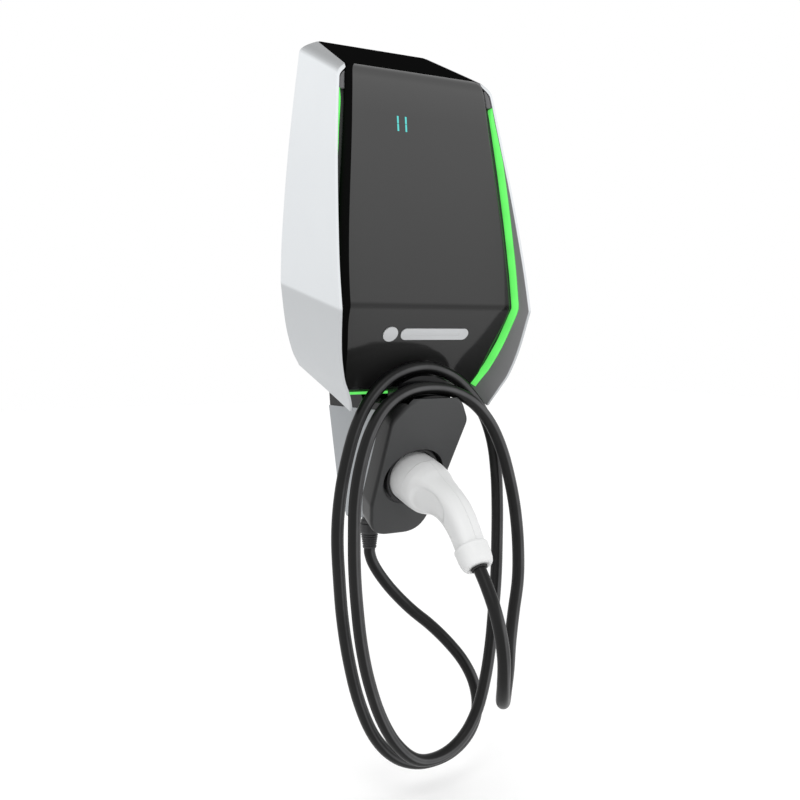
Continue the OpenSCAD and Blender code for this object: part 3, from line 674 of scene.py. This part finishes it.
# Light guides: bars along the insides of the shells, standing proud of the panel where the
# shells do, each with a blind grey end up to the panel's rolled top.
BAR_FOOT, BAR_TOP, END_TOP = PANEL_FOOT + 4, 230, 249
BAR_PROUD = 4.5
BAR_STEPS, END_STEPS = 64, 24
BAR_GAP = 0.3
BAR_TAPER = 12


def slot_ring(side, z, section):
    """A ring of (half width, depth) points across the slot between panel and shell."""
    point, inward = front_frame_at(z)
    depths = [(x, point + inward * depth) for x, depth in section]
    return [place(side * x, p.y, p.z) for x, p in depths]


def bar_ring(side, z):
    y = front_y(z)
    taper = min(1, max(BAR_TOP - z, 0.3) / BAR_TAPER) ** 0.5
    far = side_x(y, z, SHELL_T + BAR_GAP)
    near = far - GUIDE_T * taper
    proud = min(BAR_PROUD, max(y - shell_edge_y(z - RAKE * y) - 1.2, 0)) * taper
    return slot_ring(side, z, [
        (near, 7.8), (near, 2.4), (near + 0.4 * taper, 1.6),
        (lerp(near, far, 0.5), 0.4 - 0.55 * proud), (far - 0.4 * taper, -proud),
        (far, 0.3 - proud), (far, 7.8)])


def end_ring(side, z):
    near = panel_half(z) + SLOT_GAP
    far = max(head_x(front_y(z), z, SHELL_T + BAR_GAP), near + 0.5)
    return slot_ring(side, z, [
        (near, 7), (near, 2.6), (lerp(near, far, 0.15), 1.6), (lerp(near, far, 0.5), 0.8),
        (lerp(near, far, 0.85), 1.2), (far, 2), (far, 7)])


for side, word in ((1, "right"), (-1, "left")):
    bar = skin("light_bar_" + word, [bar_ring(side, lerp(BAR_FOOT, BAR_TOP, i / BAR_STEPS))
                                     for i in range(BAR_STEPS + 1)])
    finish_piece(bar, "charger", guide, ["light_guide_" + word])
    end = skin("guide_end_" + word, [
        end_ring(side, lerp(BAR_TOP + BAR_GAP, END_TOP, i / END_STEPS))
        for i in range(END_STEPS + 1)])
    finish_piece(end, "charger", cap_grey, ["guide_caps"])

# The bar under the panel, with its ends bent up.
FOOT_BAR_R, FOOT_BAR_SIDES, FOOT_BEND_R = 1.5, 16, 7
foot_half = panel_half(PANEL_FOOT) - 2
foot_y = front_y(PANEL_FOOT) + 2.2
foot_z = PANEL_FOOT - 1.9
foot_bend = [(foot_half - FOOT_BEND_R * (1 - math.sin(math.radians(a))),
              foot_z + FOOT_BEND_R * (1 - math.cos(math.radians(a)))) for a in range(0, 76, 5)]
foot_path = ([place(-x, foot_y, z) for x, z in reversed(foot_bend)]
             + [place(x, foot_y, z) for x, z in foot_bend])
foot_bar = skin("light_bar_foot", tube_rings(foot_path, FOOT_BAR_R * MM, FOOT_BAR_SIDES,
                                             Vector((0, -1, 0))))
finish_piece(foot_bar, "charger", guide, ["light_guide_bottom"])

# ================= dock =================
DOCK = Vector((0, -95, -190))


def tilted(degrees):
    """Axes of a frame turned about X: its sideways, its upward and its outward direction."""
    a = math.radians(degrees)
    return (Vector((1, 0, 0)), Vector((0, math.cos(a), math.sin(a))),
            Vector((0, -math.sin(a), math.cos(a))))


FACE = tilted(120)
PLUG = tilted(105)


def on(axes, origin, x, up, out):
    """A point given in a tilted frame."""
    p = origin + axes[0] * x + axes[1] * up + axes[2] * out
    return place(*p)


def arc_corners(points, radii, steps=8):
    """A closed outline with its corners rounded, close to arcs of the given radii."""
    out = []
    n = len(points)
    for i, (corner, radius) in enumerate(zip(points, radii)):
        corner = Vector(corner)
        before, after = Vector(points[i - 1]) - corner, Vector(points[(i + 1) % n]) - corner
        half = before.angle(after) / 2
        reach = min(radius / math.tan(half), 0.49 * before.length, 0.49 * after.length)
        a, b = corner + before.normalized() * reach, corner + after.normalized() * reach
        for k in range(steps + 1):
            t = k / steps
            out.append(a * (1 - t) ** 2 + corner * 2 * t * (1 - t) + b * t * t)
    return out


BEZEL_T = 25
# The plate's corners, clockwise from the upper left, and their radii.
PLATE = [(-31, 105), (31, 105), (49.5, 75), (43.5, -40), (32, -85), (-32, -85),
         (-43.5, -40), (-49.5, 75)]
PLATE_RADII = [26, 26, 20, 30, 28, 28, 30, 20]
outline = arc_corners(PLATE, PLATE_RADII)
# How far the plate's rim stands outside its outline at each distance from its face.
PLATE_RIM = [(0, -BEZEL_T), (0.4, -14), (0.4, -5), (0.2, -3.2), (-0.3, -1.8), (-1.1, -0.8),
             (-2.2, -0.2), (-3.4, 0)]


def grown(points, amount):
    """A closed outline moved outwards by an amount."""
    centre = sum(points, Vector((0, 0))) / len(points)
    out = []
    n = len(points)
    for i, p in enumerate(points):
        along = (points[(i + 1) % n] - points[i - 1]).normalized()
        normal = Vector((along.y, -along.x))
        if normal.dot(p - centre) < 0:
            normal = -normal
        out.append(p + normal * amount)
    return out


bezel = skin("dock_plate", [[on(FACE, DOCK, p.x, p.y, out) for p in grown(outline, amount)]
                            for amount, out in PLATE_RIM])

TOOL_SIDES = 96


def cone_tool(name, axes, ends):
    """A round tool about the dock's centre, from its (radius, distance) ends."""
    turns = [2 * math.pi * k / TOOL_SIDES for k in range(TOOL_SIDES)]
    return skin(name, [[on(axes, DOCK, r * math.cos(a), r * math.sin(a), out) for a in turns]
                       for r, out in ends])


def box_tool(name, half, ys, zs):
    return closed_sheet(name, *[[[place(x, y, z) for x in (-half, half)] for z in zs]
                                for y in ys])


def arc_tool(name, radii, centre_z, sweep, ys):
    """A thick arc about a point below it, sweep degrees to each side of upright."""
    turns = [math.radians(lerp(-sweep, sweep, k / TOOL_SIDES)) for k in range(TOOL_SIDES + 1)]
    return closed_sheet(name, *[[[place(r * math.sin(a), y, centre_z + r * math.cos(a))
                                  for a in turns] for r in radii] for y in ys])


RECESS_R = 37
recess = cone_tool("recess_tool", PLUG, [(RECESS_R, -60), (RECESS_R, 60)])
lip = cone_tool("lip_tool", FACE, [(RECESS_R, -1.2), (RECESS_R + 2.5, 1.3)])
# The looped cable lies in a rebate behind the plate's top edge.
LOOP_CENTRE_Z = -174.5
LOOP_R = 79.8
rebate = arc_tool("rebate_tool", (LOOP_R, 140), LOOP_CENTRE_Z, 60, (-140.5, -90))
top_cut = box_tool("top_tool", 60, (-170, 0), (-98, -60))
saddle_cut = box_tool("saddle_tool", 35, (-142, -90), (-104, -60))
cut(bezel, [recess, lip, rebate, top_cut, saddle_cut])
for polygon in bezel.data.polygons:
    polygon.use_smooth = True
bevel(bezel, 0.5, angle=50, segments=2)
finish_piece(bezel, "charger", graphite, ["dock_bezel"])

# ================= connector =================
# Centre line of the handle in the plane x = 0, half its width and half its height.
HANDLE = [
    ((-120.1, -196.7), 30.0, 30.0), ((-128, -199), 29.4, 29.2), ((-139, -201.5), 25.0, 26.2),
    ((-152, -204.5), 20.4, 21.2), ((-167, -209.5), 17.8, 18.8), ((-182, -217.5), 16.6, 17.4),
    ((-195, -229), 15.8, 16.2), ((-205, -241), 15.2, 15.2), ((-211, -249), 15.2, 15.0),
]
# Shallow thumb facets on both flanks: centre and reach along the handle and around it.
FACET_AT, FACET_REACH = (3.4, -14), (2.0, 40)
FACET_DEPTH, FACET_EDGE = 1.9, 0.3
HANDLE_WALL = 3
SEAM_GAP = 0.06
STATION_STEPS = 10
TURN_STEP = 3
# The section goes from round to a squarer one over these stations.
SQUARE_FROM, SQUARE_OVER, SQUARENESS = 1, 2, 0.26


def handle_line(part, t):
    """Value of one part of HANDLE's rows on the smooth line through them."""
    return curve_at([(i, part(row)) for i, row in enumerate(HANDLE)], t)


def handle_centre(t):
    return Vector((handle_line(lambda row: row[0][0], t), handle_line(lambda row: row[0][1], t)))


def facet_press(t, turn):
    """How deep the thumb facet is at a place along the handle and around it."""
    along, around = (t - FACET_AT[0]) / FACET_REACH[0], (turn - FACET_AT[1]) / FACET_REACH[1]
    return FACET_DEPTH * min(max((1 - along**2 - around**2) / FACET_EDGE, 0), 1)


def bulged(value, power):
    return math.copysign(abs(value) ** power, value)


def handle_row(t, inset, side):
    """Half of the handle's section at a place along it, from below to above."""
    along = (handle_centre(t + 0.05) - handle_centre(t - 0.05)).normalized()
    across = Vector((along.y, -along.x))
    wide = handle_line(lambda row: row[1], t) - inset
    high = handle_line(lambda row: row[2], t) - inset
    power = 1 - SQUARENESS * min(max((t - SQUARE_FROM) / SQUARE_OVER, 0), 1)
    row = []
    for turn in range(-90, 91, TURN_STEP):
        a = math.radians(turn)
        x = max(bulged(math.cos(a), power), 0) * wide - facet_press(t, turn)
        p = handle_centre(t) + across * bulged(math.sin(a), power) * high
        row.append(place(side * max(x, SEAM_GAP), p.x, p.y))
    return row


def handle_grid(inset, side):
    return [handle_row(k / STATION_STEPS, inset, side)
            for k in range((len(HANDLE) - 1) * STATION_STEPS + 1)]


for side, word in ((1, "right"), (-1, "left")):
    half = closed_sheet("handle_half_" + word, handle_grid(0, side),
                        handle_grid(HANDLE_WALL, side))
    bevel(half, 0.25, angle=60, segments=2)
    finish_piece(half, "connector", plug_white, ["connector_shell_" + word])

COLLAR_AT = Vector((0, -211, -249))
COLLAR = tilted(90 + 49.6)
# (radius, distance along the cable's direction)
collar_profile = [(9.0, 1.2), (17.2, 0.2), (18.1, 0.6), (18.6, 1.6), (18.6, 3.2), (18.2, 4.4),
                  (18.3, 6), (18.2, 12), (17.4, 18), (16.3, 21.5), (14.9, 23.4), (13.4, 24.0),
                  (9.0, 24.0)]
collar = turned("handle_collar", collar_profile, place(*COLLAR_AT), COLLAR[2], COLLAR[0])
finish_piece(collar, "connector", plug_white, ["connector_collar"])

# ================= output gland =================
GLAND_X, GLAND_Y = -16, -19
UP, RIGHT = Vector((0, 0, 1)), Vector((1, 0, 0))
BORE = CABLE_D / 2 + 0.1
RIBS, RIB_PITCH, RIB_GROWTH = 6, 2.7, 0.38
# (radius, height): the ribbed sleeve from its lower end, then the nut above it
relief = [(BORE, -284), (8.0, -284), (8.3, -283.2)]
for i in range(RIBS):
    z = -281.5 + i * RIB_PITCH
    r = 8.4 + i * RIB_GROWTH
    relief += [(r, z), (r - 0.8, z + 0.5), (r - 0.8, z + 1.2), (r + 0.2, z + 1.7)]
relief += [(11.0, -264.4), (11.5, -263.6), (11.5, -255), (11.0, -254.5), (9.2, -254.5),
           (9.2, -262), (BORE, -262)]
nut = turned("cable_relief", relief, place(GLAND_X, GLAND_Y, 0), UP, RIGHT, 48)
bevel(nut, 0.15, angle=50, segments=1)
finish_piece(nut, "charger", gland_black, ["output_gland_nut"])

# ================= carried-over nodes =================
FINISHES = {
    "wall_bracket": zinc, "rear_housing": housing, "front_frame": frame_black,
    "panel_gasket": rubber,
    "led_strips": board, "display_board": board, "display_digits": cyan, "badge": badge_grey,
    "reader_board": board, "main_board": board, "board_relays": dark_part,
    "board_capacitors": sleeve, "power_module": dark_part, "board_screws": zinc,
    "selector_base": blue, "current_selector": knob, "button_base": dark_part,
    "reset_button": red, "din_rail": zinc, "contactor": device, "terminal_block": terminal,
    "terminal_screws": zinc, "fault_sensor": dark_part, "supply_gland": gland_black,
    "bracket_screws": zinc, "cover_screws": zinc, "neck_collar": saddle_black,
    "cable_saddle": saddle_black, "neck_shell": neck_grey, "dock_cup": cup_black,
    "dock_screws": zinc, "output_gland": gland_black, "inner_lead": jacket,
    "connector_barrel": plug_white, "connector_insert": insert_black,
    "connector_contacts": plated, "connector_screws": zinc, "connector_seal": rubber,
}
for name, finish in FINISHES.items():
    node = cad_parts[name]
    node.data.materials.clear()
    node.data.materials.append(finish)

# ================= floor and light =================
world = bpy.data.worlds.new("studio")
scene.world = world
world.use_nodes = True
background = world.node_tree.nodes["Background"]
background.inputs["Color"].default_value = (1, 1, 1, 1)
background.inputs["Strength"].default_value = 1.0

# A pale floor 30 mm below the part's lowest point, 12 m square.
FLOOR_Z, FLOOR_HALF = cad_box[0][2] - 0.03, 6
floor_corners = [(FLOOR_HALF * x, FLOOR_HALF * y, FLOOR_Z)
                 for x, y in ((-1, -1), (1, -1), (1, 1), (-1, 1))]
floor = new_mesh("floor", floor_corners, [(0, 1, 2, 3)])
pale = surface("floor", (0.97, 0.97, 0.97), 0.8, tone=0.003, grain=0.02, specular=0.1)
pale_shader = pale.node_tree.nodes["Principled BSDF"]
pale_shader.inputs["Emission Color"].default_value = (1, 1, 1, 1)
pale_shader.inputs["Emission Strength"].default_value = 0.08
floor.data.materials.append(pale)


def area_light(name, location, target, size, power):
    light = bpy.data.lights.new(name, "AREA")
    light.shape = "SQUARE"
    light.size = size
    light.energy = power
    obj = link(bpy.data.objects.new(name, light))
    obj.location = location
    obj.rotation_euler = (Vector(target) - Vector(location)).to_track_quat("-Z", "Y").to_euler()


area_light("key", (-1.2, -1.6, 2.0), (0, 0, -0.1), 0.9, 9)
area_light("front", (0.5, -2.2, 0.4), (0, 0, -0.2), 0.5, 3)
